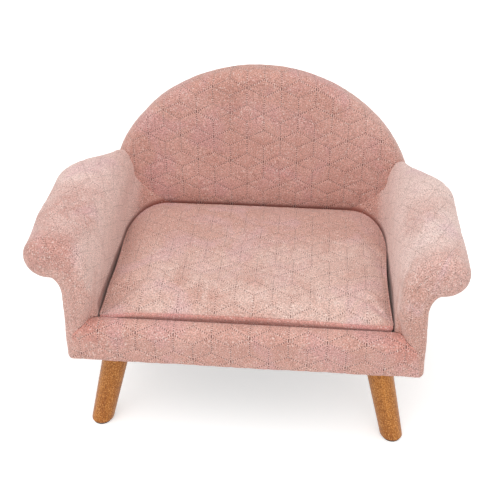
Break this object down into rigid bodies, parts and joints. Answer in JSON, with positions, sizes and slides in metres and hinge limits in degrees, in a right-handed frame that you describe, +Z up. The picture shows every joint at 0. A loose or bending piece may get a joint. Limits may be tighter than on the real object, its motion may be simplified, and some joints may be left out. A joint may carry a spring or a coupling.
{
  "type": "pet sofa bed",
  "caption": "Small quilted velvet sofa bed for a cat or small dog, with outward-rolled arms, a half-round back, a lift-out seat cushion and splayed wooden legs.",
  "frame": {"origin": "on the floor under the middle of the sofa's bounding box", "axes": "+Z up, -Y towards the open front of the seat, +X to the sitter's left, as seen from the front to the right"},
  "size_m": [0.604, 0.374, 0.4779],
  "materials": {
    "cover_velvet": "short-pile pink velvet, quilted",
    "cushion_velvet": "short-pile pink velvet, quilted",
    "foam": "open-cell foam",
    "dust_cloth": "black non-woven cloth",
    "leg_wood": "honey-stained and varnished",
    "felt": "pressed felt",
    "zinc_steel": "zinc plated",
    "zip_cloth": "woven tape with nylon coil",
    "zip_metal": "plated",
    "card": "pressed card",
    "plywood": "bare plywood",
    "pine": "bare planed pine"
  },
  "bodies": {
    "sofa": {"front_rail_cover": "cover_velvet", "left_arm_cover": "cover_velvet", "right_arm_cover": "cover_velvet", "back_cover": "cover_velvet", "back_rear_panel": "cover_velvet", "dust_cover": "dust_cloth", "front_rail_board": "pine", "left_side_rail": "pine", "right_side_rail": "pine", "back_board": "plywood", "left_arm_post": "plywood", "right_arm_post": "plywood", "left_arm_rib": "plywood", "right_arm_rib": "plywood", "left_rear_post": "pine", "right_rear_post": "pine", "left_side_panel": "card", "right_side_panel": "card", "left_roll_tube": "card", "right_roll_tube": "card", "corner_blocks": "pine", "deck_cleats": "pine", "rear_cleat": "pine", "centre_slat": "pine", "seat_deck": "plywood", "frame_screws": "zinc_steel", "leg_plates": "zinc_steel", "hanger_bolts": "zinc_steel", "plate_screws": "zinc_steel", "front_left_leg": "leg_wood", "front_right_leg": "leg_wood", "rear_left_leg": "leg_wood", "rear_right_leg": "leg_wood", "front_left_glide": "felt", "front_right_glide": "felt", "rear_left_glide": "felt", "rear_right_glide": "felt"},
    "cushion": {"cushion_cover": "cushion_velvet", "cushion_foam": "foam", "zip_tape": "zip_cloth"},
    "zip_pull": {"zip_slider": "zip_metal"}
  },
  "joints": [
    {"name": "cushion_lift", "type": "slide", "parent": "sofa", "child": "cushion", "axis": [0, 0, 1], "range_m": [0, 0.3]},
    {"name": "zip_slide", "type": "slide", "parent": "cushion", "child": "zip_pull", "axis": [-1, 0, 0], "range_m": [0, 0.21]}
  ]
}
